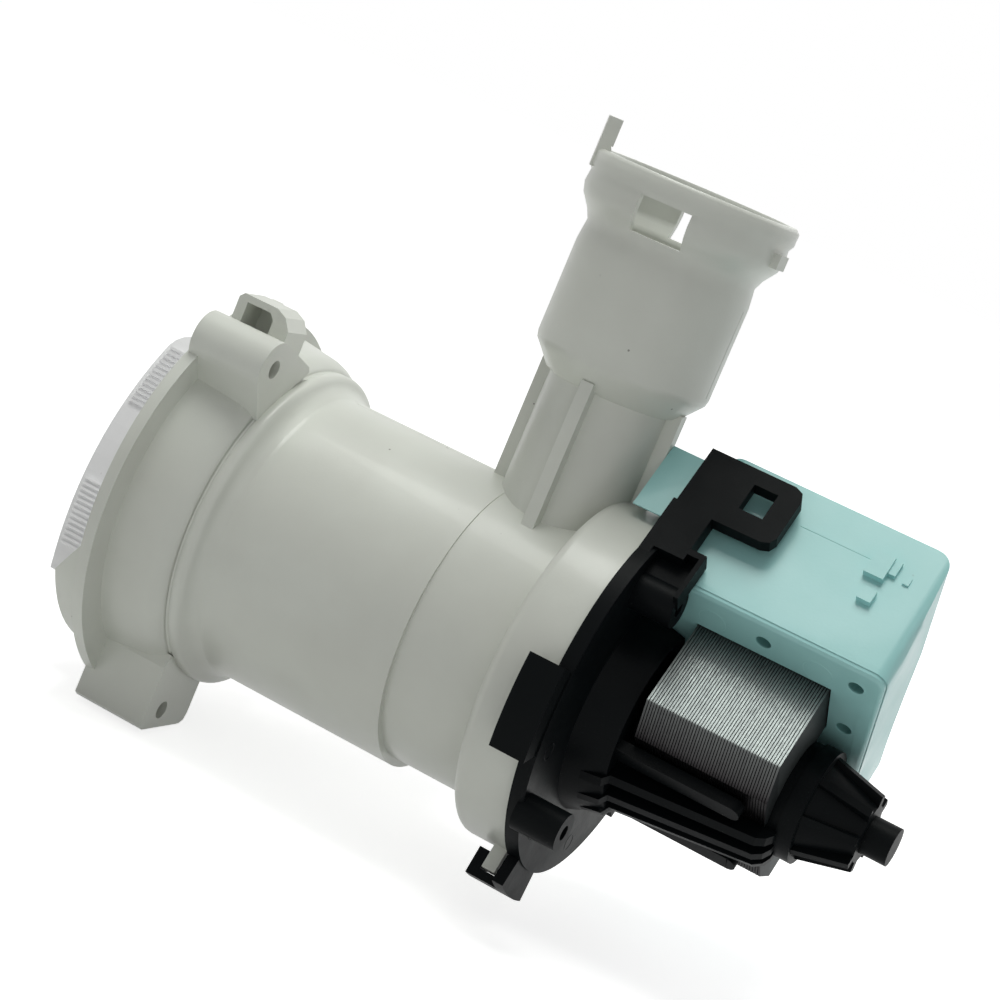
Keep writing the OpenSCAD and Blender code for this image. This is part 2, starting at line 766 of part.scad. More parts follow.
// Arm beside the coil cover, with a pocket and with the loop that ties the cable down
arm_in = cover_half_w + 0.6;
arm_out = arm_in + 4.2;
arm_top = 41.4;
loop_back = drum_end + 22.2;
module cable_arm() {
    motor_frame() {
        block([0.66 * carrier_r, drum_end, 18], [arm_out, carrier_back, 26.5]);
        block([arm_in, drum_end, 15], [arm_out, drum_end + 9, 27]);
        // Loop plate, with its two rear corners rounded
        difference() {
            translate([arm_out - 3, 0, 0]) rotate([90, 0, 90]) linear_extrude(height = 3) polygon([
                [drum_end + 0.7, 26],
                [loop_back - 2.4, 26.3],
                [loop_back - 0.7, 27],
                [loop_back, 28.7],
                [loop_back, arm_top - 2.6],
                [loop_back - 0.8, arm_top - 0.8],
                [loop_back - 2.6, arm_top],
                [drum_end + 0.7, arm_top]
            ]);
            block([arm_out - 4, drum_end + 12.2, 31.2], [arm_out + 1, drum_end + 17.5, 37.8]);
        }
        // Inner half of the arm, cut away behind the loop
        block([arm_in, drum_end + 0.7, 26], [arm_out, drum_end + 8.8, arm_top]);
        // Pocket below the arm, open to the outside and downwards
        difference() {
            block([arm_in, drum_end, 6.6], [arm_out, drum_end + 12.6, 18]);
            block([arm_in + 1.2, drum_end + 2.4, 5], [arm_out + 1, drum_end + 11.6, 16.6]);
        }
    }
}

module carrier_ribs() {
    // Ribs under the can, between the core's legs
    for (a = [-72, -90, -108]) motor_frame() fin(a, 2.2) polygon([
        [can_r - 1, carrier_back - 0.5],
        [can_r + 10.8, carrier_back - 0.5],
        [can_r + 9.4, carrier_back + 8],
        [can_r + 7.6, carrier_back + 9],
        [can_r + 4.4, stack_back - 0.4],
        [can_r + 3.2, stack_back + 1.4],
        [can_r + 1.6, stack_back + 2.3],
        [can_r - 1, stack_back + 2.6]
    ]);
    // Rails under the core's legs, rounded at their ends
    for (side = [-1, 1]) motor_frame() translate([side * rail_x, 0, -leg_reach - 0.5 - rail_t]) {
        translate([-rail_half_w, carrier_back - 0.5, 0]) cube([2 * rail_half_w, stack_len + 5, rail_t]);
        translate([0, carrier_back + stack_len + 4.5, 0]) cylinder(h = rail_t, r = rail_half_w);
    }
}
rail_x = 10.4;
rail_half_w = 2;
rail_t = 2.6;

// Notch in the carrier's flange that leaves room for the plug in the socket
module plug_notch() {
    difference() {
        motor_frame() block(
            [socket_x0 - 2.8, drum_end - 0.5, socket_z0], [socket_x1 + 1, carrier_back + 0.5, cover_top + 9]
        );
        disc(drum_end - 1, carrier_back + 1, drum_r - 0.4);
    }
}

// Cone round the can's root, cut back where the coil cover passes
module carrier_hub() {
    hub_len = stack_gap - 2.5;
    motor_frame() intersection() {
        along(carrier_back - 1) cylinder(h = hub_len + 1, r1 = can_r + 12, r2 = can_r + 8.2);
        block([-carrier_r, carrier_back - 2, -carrier_r], [carrier_r, stack_front, cover_low - run_gap]);
    }
}

module carrier_pegs() {
    for (p = [[20, 27], [31.5, -20.1]]) translate([p.x, 0, p.y]) difference() {
        disc(carrier_back - 1, carrier_back + peg_len, peg_r);
        disc(carrier_back + peg_len - 5, carrier_back + peg_len + 1, peg_r - 2.4);
    }
}

module rear_cap() {
    along(can_end - 0.5) cylinder(h = rear_cap_len + 0.5, r1 = can_r - 1.4, r2 = 6.2);
    for (i = [0:7]) fin(i * 45 + motor_roll, 1.8) polygon([
        [4, can_end - 0.5], [can_r - 0.4, can_end - 0.5], [8.4, rear_cap_end], [4, rear_cap_end]
    ]);
    disc(rear_cap_end - 1, rear_cap_end + rear_stub_len, 4.1);
}

module motor_carrier() {
    spigot_r = drum_bore_r - slide_fit;
    color(black) difference() {
        union() {
            translate([0, 0, carrier_rise]) disc(drum_end, carrier_back, carrier_r);
            ring(volute_end + drum_wall + 0.6, drum_end + 1, spigot_r, spigot_r - 4.2);
            disc(drum_end, can_end, can_r);
            carrier_hub();
            ring(can_end - 3.6, can_end, can_r + cover_gap - 0.4, can_r - 1);
            rear_cap();
            carrier_ribs();
            carrier_pegs();
            carrier_claws();
            snap_hook();
            cable_arm();
        }
        plug_notch();
        disc(drum_end - 1, stack_back + 2.8 + eps, can_bore_r);
        disc(drum_end - 1, carrier_back - 1, plate_r);
        disc(rear_bearing_y - 0.5, rear_bearing_y + bearing_len + 1.4, mount_r);
        // Groove for the seal ring
        ring(carrier_groove_y, carrier_groove_y + groove_w, drum_r, spigot_r - 2.4);
    }
}
carrier_groove_y = volute_end + drum_wall + 2.4;

module carrier_seal() {
    color([0.16, 0.16, 0.17]) along(carrier_groove_y + groove_w / 2) rotate_extrude()
        translate([drum_bore_r - 1.3, 0]) circle(r = 1.2, $fn = 32);
}

// Outline of one core plate, in the motor's frame
module core_outline() {
    slope = stack_half_w / 3;
    difference() {
        polygon([
            [-stack_half_w + slope, -leg_reach], [-stack_half_w, -leg_reach + slope * 0.62],
            [-stack_half_w, yoke_top], [stack_half_w, yoke_top],
            [stack_half_w, -leg_reach + slope * 0.62], [stack_half_w - slope, -leg_reach]
        ]);
        circle(r = can_r + slide_fit);
        translate([-leg_gap_half, 0]) square([2 * leg_gap_half, yoke_low]);
        translate([-leg_gap_half + 2, -leg_reach - 1]) square([2 * leg_gap_half - 4, leg_reach + 1]);
    }
}

module stator_core() {
    color(steel) motor_frame() plate_xz(stack_front, stack_back) core_outline();
}

// Rectangle with rounded corners
module round_rect(low, high, r) {
    polygon(concat(
        arc(high.x - r, low.y + r, r, -90, 0, 5),
        arc(high.x - r, high.y - r, r, 0, 90, 5),
        arc(low.x + r, high.y - r, r, 90, 180, 5),
        arc(low.x + r, low.y + r, r, 180, 270, 5)
    ));
}

// Shell round one leg of the core, side is -1 or 1
module leg_shell(side, grow_in, grow_out, z0, z1) {
    x0 = side > 0 ? leg_gap_half : -stack_half_w;
    x1 = side > 0 ? stack_half_w : -leg_gap_half;
    translate([0, 0, z0]) linear_extrude(height = z1 - z0) difference() {
        round_rect(
            [x0 - grow_out, stack_front - grow_out], [x1 + grow_out, stack_back + grow_out],
            max(0.3, grow_out - 1)
        );
        translate([x0 - grow_in, stack_front - grow_in]) square([x1 - x0 + 2 * grow_in, stack_len + 2 * grow_in]);
    }
}

// Holder on the right bobbin that carries the terminals
holder_y0 = cover_front + cover_wall + 0.6;
holder_y1 = holder_y0 + 5.4;
module terminal_holder() {
    difference() {
        block([socket_x0, holder_y0, coil_high - 1.1], [socket_x1 - 0.6, holder_y1, socket_z1 - 0.6]);
        blades(0.02, holder_y0 - 1, holder_y1 - 1.2);
    }
}

module bobbin(side) {
    color([0.9, 0.9, 0.86]) motor_frame() {
        if (side > 0) terminal_holder();
        leg_shell(side, 0.05, bobbin_t, coil_low, coil_high);
        leg_shell(side, 0.05, bobbin_t + coil_t - 0.1, coil_low, coil_low + 1.1);
        leg_shell(side, 0.05, bobbin_t + coil_t - 0.1, coil_high - 1.1, coil_high);
    }
}

module winding(side) {
    color([0.72, 0.4, 0.2]) motor_frame()
        leg_shell(side, bobbin_t, bobbin_t + coil_t - 0.4, coil_low + 1.1, coil_high - 1.1);
}

module bobbin_left() { bobbin(-1); }
module bobbin_right() { bobbin(1); }
module winding_left() { winding(-1); }
module winding_right() { winding(1); }

// Outline of the coil cover, seen along its height, with a slanted rear side
module cover_outline(inset) {
    x = cover_half_w - inset;
    front = cover_front + inset;
    back = cover_back - inset;
    far_back = back - cover_slant;
    r = max(0.4, cover_corner - inset);
    far_r = cover_far_corner - inset;
    polygon(concat(
        arc(x - r, front + r, r, -90, 0, 5),
        arc(x - r, back - r, r, 0, 90, 5),
        arc(-x + far_r, far_back - far_r, far_r, 90, 180, 8),
        arc(-x + r, front + r, r, 180, 270, 5)
    ));
}

// Socket in front of the cover, where the connector is plugged in
socket_front = drum_end - 8;
socket_wall = 2.4;
blade_w = 4.8;
blade_thick = 0.8;
blade_pitch = 6.6;
socket_x1 = cover_half_w - socket_wall;
socket_x0 = socket_x1 - blade_w - blade_pitch - 1.6;
socket_z1 = cover_top - 6.6;
socket_z0 = socket_z1 - socket_h;
blade_z = socket_z1 - 1.7;
blade_x = [socket_x1 - 0.8 - blade_w / 2, socket_x1 - 0.8 - blade_w / 2 - blade_pitch];
module socket_body(grow, y0) {
    block([socket_x0 - grow, y0, socket_z0 - grow], [socket_x1 + grow, cover_front + 5, socket_z1 + grow]);
}

// The two flat terminals, or with a gap the slots that they sit in
module blades(gap, y0, y1) {
    for (x = blade_x) block(
        [x - blade_w / 2 - gap, y0, blade_z - blade_thick / 2 - gap],
        [x + blade_w / 2 + gap, y1, blade_z + blade_thick / 2 + gap]
    );
}

// Clip on the near face: an upper wedge, a lower block and a small pip
module clip_bumps() {
    x = cover_half_w;
    block([x - 1, cover_back - 15.4, cover_top - 12.6], [x + 1.5, cover_back - 11.2, cover_top - 6.8]);
    block([x - 1, cover_back - 12.4, cover_top - 10.4], [x + 0.9, cover_back - 9.6, cover_top - 6.8]);
    block([x - 1, cover_back - 13.8, cover_top - 18.6], [x + 1.4, cover_back - 10.8, cover_top - 15.6]);
    block([x - 1, cover_back - 7.8, cover_top - 10.8], [x + 0.4, cover_back - 6.5, cover_top - 9]);
}

// Draft of the cover's rear face and the rounding of its upper edge
module rear_draft() {
    r = 3.6;
    draft = 1.5;
    low = cover_low + 8;
    translate([-60, 0, 0]) rotate([90, 0, 90]) linear_extrude(height = 120) polygon(concat(
        [[cover_back + 9, low], [cover_back + 0.01, low]],
        arc(cover_back - draft - r, cover_top - r, r, 0, 90, 8),
        [[cover_back - draft - r, cover_top + 9], [cover_back + 9, cover_top + 9]]
    ));
}

module coil_cover() {
    color(mint) motor_frame() difference() {
        union() {
            translate([0, 0, cover_low + base_t + 0.05]) linear_extrude(height = cover_h - base_t) cover_outline(0);
            socket_body(socket_wall, socket_front);
            clip_bumps();
        }
        rear_draft();
        translate([0, 0, cover_low + base_t - 1]) linear_extrude(height = cover_h - base_t + 1 - cover_wall)
            cover_outline(cover_wall);
        difference() {
            socket_body(0, socket_front - 1);
            block([-50, cover_front, 0], [50, cover_front + cover_wall, 60]);
        }
        blades(0.15, socket_front, cover_front + cover_wall + 1);
        // Room for the drum and the carrier's flange
        disc(volute_y, carrier_back + 0.4, carrier_r + carrier_rise + 0.6);
        block([0, drum_end - 0.4, 17], [cover_half_w + 1, carrier_back + 0.4, 26.9]);
    }
}

module cover_base() {
    color([0.58, 0.81, 0.78]) motor_frame() difference() {
        translate([0, 0, cover_low]) linear_extrude(height = base_t) cover_outline(0);
        for (side = [-1, 1]) block(
            [side > 0 ? leg_gap_half - slide_fit : -stack_half_w - slide_fit, stack_front - slide_fit, cover_low - 1],
            [side > 0 ? stack_half_w + slide_fit : -leg_gap_half + slide_fit, stack_back + slide_fit, coil_low + 1]
        );
        for (side = [-1, 1]) for (y = [stack_front + 14.5, stack_back + 5.4])
            translate([side * (stack_half_w + 5), y, cover_low - 1]) cylinder(h = 1.9, r = 1.7);
        for (side = [-1, 1]) translate([side * 11, stack_back + 4.6, cover_low - 1]) cylinder(h = 1.9, r = 1.7);
    }
}

module terminal_blades() {
    color([0.78, 0.76, 0.7]) motor_frame() blades(0, socket_front + 2.5, holder_y1 - 1.2);
}

pump_housing();
filter_cap();
filter_cage();
filter_seal();
impeller();
coupling_cover();
drive_dog();
rotor_shaft();
rotor_magnet();
rotor_sleeve();
front_bearing();
front_bearing_mount();
bearing_plate();
rear_bearing();
rear_bearing_mount();
thrust_washer();
motor_carrier();
carrier_seal();
stator_core();
bobbin_left();
bobbin_right();
winding_left();
winding_right();
coil_cover();
cover_base();
terminal_blades();
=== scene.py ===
"""Looks of the washer drain pump: materials, small moulded details, light and camera."""

import math
import random

import bmesh
import bpy
from mathutils import Matrix, Vector


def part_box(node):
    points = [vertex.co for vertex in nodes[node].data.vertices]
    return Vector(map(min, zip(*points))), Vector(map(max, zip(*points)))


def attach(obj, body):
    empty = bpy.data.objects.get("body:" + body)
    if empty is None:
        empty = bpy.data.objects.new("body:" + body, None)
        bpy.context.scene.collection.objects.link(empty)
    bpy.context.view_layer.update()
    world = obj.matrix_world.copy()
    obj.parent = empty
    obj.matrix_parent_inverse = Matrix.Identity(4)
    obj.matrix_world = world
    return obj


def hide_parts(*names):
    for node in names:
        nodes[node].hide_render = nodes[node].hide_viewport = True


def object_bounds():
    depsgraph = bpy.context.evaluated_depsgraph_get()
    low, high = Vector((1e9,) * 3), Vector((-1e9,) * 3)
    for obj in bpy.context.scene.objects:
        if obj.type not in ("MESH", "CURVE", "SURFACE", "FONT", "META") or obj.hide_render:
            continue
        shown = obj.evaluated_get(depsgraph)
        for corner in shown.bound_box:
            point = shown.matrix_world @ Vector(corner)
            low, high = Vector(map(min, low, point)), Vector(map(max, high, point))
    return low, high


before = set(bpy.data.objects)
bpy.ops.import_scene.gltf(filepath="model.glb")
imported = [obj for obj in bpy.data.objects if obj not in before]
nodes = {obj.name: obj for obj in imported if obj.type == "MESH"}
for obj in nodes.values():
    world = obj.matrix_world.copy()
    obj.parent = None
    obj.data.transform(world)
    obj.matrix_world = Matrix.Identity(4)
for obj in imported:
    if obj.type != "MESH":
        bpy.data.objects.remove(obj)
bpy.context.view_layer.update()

MM = 0.001

# Camera fitted to the circles and edges of the photograph
CAMERA_AT = Vector((499.4, 243.4, 113.5)) * MM
CAMERA_LOOKS_AT = Vector((0.0, 63.2, 27.5)) * MM
CAMERA_ROLL = math.radians(22.88)
CAMERA_FOCAL_PX = 2588.65
PHOTO_WIDTH_PX = 1000
SENSOR_WIDTH_MM = 36.0

# Places below are in millimetres. Those of the motor's pieces are in the motor's own frame, which is
# turned about the main axis: across it, along the main axis, and upwards
MOTOR_ROLL = math.radians(40)

# Housing: from and to along its axis, and the radius there
MAIN_TUBE = (25.0, 66.6, 32.5)
CHAMBER_UNDERSIDE = (67.6, 87.2, 30.8)
DRUM_UNDERSIDE = (90.0, 98.0, 36.8)
OUTLET_BELL = (64.6, 83.6, 18.9)
OUTLET_AXIS_Y = 76.5

# Section of the bead behind the filter chamber: (along the main axis, radius)
BEAD_PROFILE = (
    (16.75, 35.4), (16.95, 36.0), (17.4, 36.35), (18.7, 36.4), (19.3, 36.2), (19.75, 35.75),
    (20.05, 35.1), (20.4, 34.4), (20.95, 33.75), (21.7, 33.25), (22.6, 32.85), (23.2, 32.6),
    (23.2, 32.0), (16.75, 32.0),
)
BEAD_TURNS = 144

# Coil cover and its lower half
COVER_FRONT = 105.0
COVER_REAR = 145.5
COVER_HALF_WIDTH = 33.8
COVER_UNDERSIDE = 12.7
COVER_SEAM = 15.15
COVER_TOP = 45.4
COIL_TOP = 30.6
COVER_EDGE_RADIUS = 2.3
COVER_TOP_EDGE_RADIUS = 0.7
PITS = ((27.5, 129.5), (-27.5, 129.5), (27.5, 149.7), (-27.5, 147.9), (11, 148.4), (-11, 147.6))
PIT_DEEPENED = 1.1

# How far the cover's rear wall leans forward at its far side: beside the coils, and added above them
REAR_LEAN = 2.2
REAR_LEAN_ABOVE = 3.8

# Stator core: from one steel plate to the next, each plate's share of that, and how far it may slip
PLATE_PITCH = 0.6 * MM
PLATE_SHARE = 0.7
PLATE_SLIP = 0.012 * MM

# Motor carrier: rear face of its flange, and the circle and turns of the ejector rings on it
FLANGE_REAR_Y = 104.2
FLANGE_RING_RADIUS = 33
FLANGE_RING_TURNS = (-12, -52, 168, 192, 258)

# Rounded edges of the mouldings that show. 0 keeps their edges and evens their shade alone
EDGE = {"pump_housing": 0.45, "filter_cap": 0, "motor_carrier": 0}

# Corners of a mesh that are closer than this are one
SAME_PLACE = 0.002 * MM


def on_motor(side, along, height):
    """A point given in the motor's own frame, in millimetres."""
    cos, sin = math.cos(MOTOR_ROLL), math.sin(MOTOR_ROLL)
    return Vector((side * cos - height * sin, along, side * sin + height * cos)) * MM


def motor_height(place):
    """Height in the motor's own frame."""
    return place.z * math.cos(MOTOR_ROLL) - place.x * math.sin(MOTOR_ROLL)


def motor_side(place):
    """Distance across the motor, in its own frame."""
    return place.x * math.cos(MOTOR_ROLL) + place.z * math.sin(MOTOR_ROLL)


def colour(red, green, blue):
    """Linear colour from the 0 to 255 values that a screen shows."""
    def linear(value):
        value /= 255
        return value / 12.92 if value <= 0.04045 else ((value + 0.055) / 1.055) ** 2.4
    return (linear(red), linear(green), linear(blue), 1.0)


class Material:
    """A procedural material, built node by node around one Principled shader."""

    def __init__(self, name, roughness, **sockets):
        self.material = bpy.data.materials.new(name)
        self.material.use_nodes = True
        self.tree = self.material.node_tree
        self.shader = self.tree.nodes["Principled BSDF"]
        self.shader.inputs["Roughness"].default_value = roughness
        for socket, value in sockets.items():
            self.shader.inputs[socket.replace("_", " ")].default_value = value
        self.texture = self.add("ShaderNodeTexCoord")
        self.place = self.texture.outputs["Object"]

    def add(self, kind, **inputs):
        node = self.tree.nodes.new(kind)
        for name, value in inputs.items():
            self.put(value, node.inputs[name.replace("_", " ")])
        return node

    def put(self, value, socket):
        if isinstance(value, bpy.types.NodeSocket):
            self.tree.links.new(value, socket)
        else:
            socket.default_value = value

    def stretch(self, x, y, z):
        """Texture coordinates stretched along the axes, for streaks and brush lines."""
        node = self.add("ShaderNodeMapping", Vector=self.place)
        node.inputs["Scale"].default_value = (x, y, z)
        return node.outputs["Vector"]

    def axes(self, vector):
        """The three values of a vector."""
        split = self.add("ShaderNodeSeparateXYZ", Vector=vector)
        return [split.outputs[axis] for axis in "XYZ"]

    def noise(self, scale, detail=3.0, roughness=0.5, vector=None):
        node = self.add(
            "ShaderNodeTexNoise", Vector=vector or self.place, Scale=scale, Detail=detail,
            Roughness=roughness,
        )
        return node.outputs["Fac"]

    def spots(self, scale, radius):
        """1 inside small scattered dots, 0 elsewhere."""
        node = self.add("ShaderNodeTexVoronoi", Vector=self.place, Scale=scale)
        return self.ramp(node.outputs["Distance"], (radius, 1.0), (radius * 1.25, 0.0))

    def ramp(self, value, low, high):
        """Maps a value between two (place, result) stops."""
        node = self.add(
            "ShaderNodeMapRange", Value=value, From_Min=low[0], From_Max=high[0],
            To_Min=low[1], To_Max=high[1],
        )
        return node.outputs["Result"]

    def mix(self, factor, first, second):
        node = self.tree.nodes.new("ShaderNodeMix")
        node.data_type = "RGBA"
        self.put(factor, node.inputs["Factor"])
        # The colour sockets share their names with the number and vector ones
        self.put(first, node.inputs[6])
        self.put(second, node.inputs[7])
        return node.outputs[2]

    def maths(self, operation, first, second=0.0):
        node = self.tree.nodes.new("ShaderNodeMath")
        node.operation = operation
        self.put(first, node.inputs[0])
        self.put(second, node.inputs[1])
        return node.outputs[0]

    def turned(self, operation, first, second):
        """One axis of the motor's own frame, from two axes of the shared frame."""
        return self.maths(
            operation, self.maths("MULTIPLY", first, math.cos(MOTOR_ROLL)),
            self.maths("MULTIPLY", second, math.sin(MOTOR_ROLL)),
        )

    def bump(self, height, distance, strength=1.0, under=None):
        node = self.add("ShaderNodeBump", Height=height, Distance=distance, Strength=strength)
        if under is not None:
            self.put(under, node.inputs["Normal"])
        return node.outputs["Normal"]

    def finish(self, base, roughness=None, normal=None):
        self.put(base, self.shader.inputs["Base Color"])
        if roughness is not None:
            self.put(roughness, self.shader.inputs["Roughness"])
        if normal is not None:
            self.put(normal, self.shader.inputs["Normal"])
        return self.material


def in_cover_openings(m):
    """1 on the walls of the slots and pits in the coil cover's underside, where shade is painted, 0
    elsewhere.
    """
    flat_half_width = 30.5
    flat_front = 105.4
    flat_rear, rear_slant = 149.3, 0.077
    x, y, z = m.axes(m.place)
    side = m.turned("ADD", x, z)
    height = m.turned("SUBTRACT", z, x)
    rear = m.maths("SUBTRACT", y, m.maths("MULTIPLY", side, rear_slant))
    limits = (
        m.ramp(
            m.maths("ABSOLUTE", side),
            (flat_half_width * MM, 1.0), ((flat_half_width + 1.0) * MM, 0.0),
        ),
        m.ramp(rear, (flat_rear * MM, 1.0), ((flat_rear + 0.2) * MM, 0.0)),
        m.ramp(y, (flat_front * MM, 0.0), ((flat_front + 0.4) * MM, 1.0)),
        m.ramp(height, ((COVER_UNDERSIDE + 0.06) * MM, 0.0), ((COVER_UNDERSIDE + 0.4) * MM, 1.0)),
        m.ramp(height, ((COVER_SEAM - 0.15) * MM, 1.0), ((COVER_SEAM - 0.05) * MM, 0.0)),
    )
    inside = limits[0]
    for limit in limits[1:]:
        inside = m.maths("MINIMUM", inside, limit)
    return inside


def moulded(name, base, deep, roughness, grain=0.02, specks=0.0, painted_shade=None, **sockets):
    """Injection-moulded plastic: soft clouding, faint flow streaks, a fine grain, stray specks."""
    speck_colour = colour(96, 92, 84)
    m = Material(name, roughness, **sockets)
    clouds = m.ramp(m.noise(38, 4), (0.35, 0.0), (0.7, 1.0))
    tone = m.mix(clouds, colour(*base), colour(*deep))
    flow = m.noise(60, 2, vector=m.stretch(1, 0.12, 1))
    tone = m.mix(m.ramp(flow, (0.45, 0.0), (0.75, 0.35)), tone, colour(*deep))
    if specks:
        patches = m.ramp(m.noise(25), (0.52, 0.0), (0.56, specks))
        dirt = m.maths("MULTIPLY", m.spots(170, 0.034), patches)
        tone = m.mix(dirt, tone, speck_colour)
    # Painted shade on the walls of the cover's slots and pits
    if painted_shade:
        tone = m.mix(m.maths("MULTIPLY", in_cover_openings(m), 0.85), tone, colour(*painted_shade))
    gloss = m.ramp(m.noise(55, 5, 0.6), (0.3, roughness - 0.07), (0.7, roughness + 0.1))
    fine = m.bump(m.noise(1500, 2), grain * MM, 0.6)
    wavy = m.bump(m.noise(90, 3), 0.12 * MM, 0.35, under=fine)
    return m.finish(tone, gloss, wavy)


def laminated_steel(first_plate, pitch):
    """Edges of punched plates: each of its own tone, with die marks, a dark brownish low edge and
    painted shade.
    """
    light_plate, dark_plate = colour(142, 149, 147), colour(131, 137, 136)
    die_marks, shade = colour(112, 112, 110), colour(52, 53, 54)
    chamfer_dark, bottom_shade, face = colour(44, 40, 42), colour(12, 12, 13), colour(40, 44, 45)
    m = Material("laminated_steel", 0.36, Metallic=1.0)
    x, y, z = m.axes(m.place)
    height = m.turned("SUBTRACT", z, x)
    plate = m.maths("FLOOR", m.maths("DIVIDE", m.maths("SUBTRACT", y, first_plate), pitch))
    chance = m.add("ShaderNodeTexWhiteNoise")
    chance.noise_dimensions = "1D"
    m.put(plate, chance.inputs["W"])
    tone = m.mix(chance.outputs["Value"], light_plate, dark_plate)
    drag = m.noise(700, 4, 0.7, vector=m.stretch(1, 4, 1))
    tone = m.mix(m.ramp(drag, (0.5, 0.0), (0.75, 0.22)), tone, die_marks)
    # Painted shade of the cover on the plates at the top; the chamfer at the bottom is dark brownish
    # grey, darker towards the bottom
    tone = m.mix(m.ramp(height, (6.5 * MM, 0.0), (12.5 * MM, 0.85)), tone, shade)
    low_edge = m.ramp(height, (-7.6 * MM, 1.0), (-6.9 * MM, 0.0))
    fade = m.ramp(height, (-12.0 * MM, 0.97), (-7.4 * MM, 0.72))
    tone = m.mix(m.maths("MULTIPLY", low_edge, fade), tone, chamfer_dark)
    # Painted shade along the plates' lowest edge
    tone = m.mix(m.ramp(height, (-12.6 * MM, 0.95), (-11.2 * MM, 0.0)), tone, bottom_shade)
    # The flat faces of the first and the last plate are dull, and painted dark as shade
    along = m.axes(m.texture.outputs["Normal"])[1]
    flat = m.ramp(m.maths("ABSOLUTE", along), (0.7, 0.0), (0.9, 0.9))
    tone = m.mix(flat, tone, face)
    gloss = m.maths(
        "MAXIMUM", m.ramp(drag, (0.3, 0.28), (0.7, 0.5)), m.ramp(flat, (0.0, 0.0), (0.9, 0.6))
    )
    return m.finish(tone, gloss, m.bump(drag, 0.03 * MM, 0.6))


def plain_metal(name, base, roughness, brush=(1, 1, 1)):
    """Drawn or turned metal with fine brush lines."""
    darker = [value * 0.72 for value in base]
    m = Material(name, roughness, Metallic=1.0)
    lines = m.noise(1800, 3, vector=m.stretch(*brush))
    tone = m.mix(m.ramp(lines, (0.3, 0.0), (0.7, 0.5)), colour(*base), colour(*darker))
    gloss = m.ramp(m.noise(240, 3), (0.3, roughness - 0.06), (0.7, roughness + 0.12))
    return m.finish(tone, gloss, m.bump(lines, 0.01 * MM, 0.5))


def rubber():
    """Black rubber with a little dust on it."""
    m = Material("rubber", 0.62)
    dust = m.ramp(m.noise(300, 4), (0.5, 0.0), (0.8, 0.5))
    tone = m.mix(dust, colour(24, 24, 26), colour(58, 57, 56))
    gloss = m.ramp(m.noise(120), (0.3, 0.5), (0.7, 0.75))
    return m.finish(tone, gloss, m.bump(m.noise(2200), 0.02 * MM, 0.6))


def copper_wire():
    """Side of a wound coil: rows of enamelled wire."""
    m = Material("copper_wire", 0.3, Metallic=0.9)
    rows = m.add("ShaderNodeTexWave", Vector=m.stretch(1, 0.02, 1), Scale=900).outputs["Fac"]
    tone = m.mix(rows, colour(150, 72, 34), colour(214, 128, 74))
    return m.finish(tone, m.ramp(rows, (0.0, 0.45), (1.0, 0.22)), m.bump(rows, 0.1 * MM))


GREY = moulded(
    "grey_plastic", (217, 220, 212), (209, 211, 203), 0.37, specks=0.7, Coat_Weight=0.1
)
WHITE = moulded("white_plastic", (250, 250, 251), (243, 243, 244), 0.36, specks=0.3)
MINT = moulded(
    "mint_plastic", (163, 215, 214), (153, 208, 206), 0.36, specks=0.15,
    painted_shade=(88, 136, 134), Coat_Weight=0.08,
)
BLACK = moulded(
    "black_plastic", (6, 9, 11), (11, 14, 15), 0.4, grain=0.03, Specular_IOR_Level=0.05
)
CREAM = moulded("cream_plastic", (226, 220, 202), (212, 205, 186), 0.45)
DARK = moulded("dark_plastic", (52, 52, 56), (66, 66, 70), 0.5)
FERRITE = moulded("ferrite", (60, 58, 57), (78, 75, 72), 0.6, grain=0.06)
STEEL = laminated_steel(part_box("stator_core")[0][1], PLATE_PITCH)
SHAFT = plain_metal("shaft_steel", (205, 207, 210), 0.18, (1, 0.03, 1))
TINNED = plain_metal("tinned_brass", (206, 202, 190), 0.3)
RUBBER = rubber()
COPPER = copper_wire()

FINISH = {
    "pump_housing": GREY, "filter_cap": WHITE, "filter_cage": WHITE, "filter_seal": RUBBER,
    "impeller": WHITE, "coupling_cover": CREAM, "drive_dog": DARK, "rotor_shaft": SHAFT,
    "rotor_magnet": FERRITE, "rotor_sleeve": DARK, "front_bearing": CREAM, "rear_bearing": CREAM,
    "front_bearing_mount": RUBBER, "rear_bearing_mount": RUBBER, "bearing_plate": BLACK,
    "thrust_washer": CREAM, "motor_carrier": BLACK, "carrier_seal": RUBBER, "stator_core": STEEL,
    "bobbin_left": CREAM, "bobbin_right": CREAM, "winding_left": COPPER, "winding_right": COPPER,
    "coil_cover": MINT, "cover_base": MINT, "terminal_blades": TINNED,
}


def new_object(name, data):
    obj = bpy.data.objects.new(name, data)
    bpy.context.collection.objects.link(obj)
    return obj


def new_piece(name, mesh, material, node=None):
    """A piece of the pump's own body from a bmesh, in place of a CAD node where one is given."""
    data = bpy.data.meshes.new(name)
    mesh.to_mesh(data)
    mesh.free()
    data.materials.append(material)
    piece = new_object(name, data)
    if node:
        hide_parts(node)
    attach(piece, "pump")
    return piece


def shade_smooth(mesh, sharp_from):
    """Smooth shading, except across edges sharper than this angle in degrees."""
    for face in mesh.faces:
        face.smooth = True
    for edge in mesh.edges:
        edge.smooth = edge.calc_face_angle(0.0) < math.radians(sharp_from)


def soften(obj, radius):
    """Rounds the sharp edges a little, as a mould does."""
    weld = obj.modifiers.new("weld", "WELD")
    weld.merge_threshold = SAME_PLACE
    if radius:
        bevel = obj.modifiers.new("bevel", "BEVEL")
        bevel.width = radius * MM
        bevel.segments = 2
        bevel.limit_method = "ANGLE"
        bevel.angle_limit = math.radians(48)
        bevel.use_clamp_overlap = True
        bevel.harden_normals = True
    # Large faces keep their own shade right up to the small ones beside them
    weight = obj.modifiers.new("weight", "WEIGHTED_NORMAL")
    weight.mode = "FACE_AREA"
    weight.weight = 80
    weight.keep_sharp = True


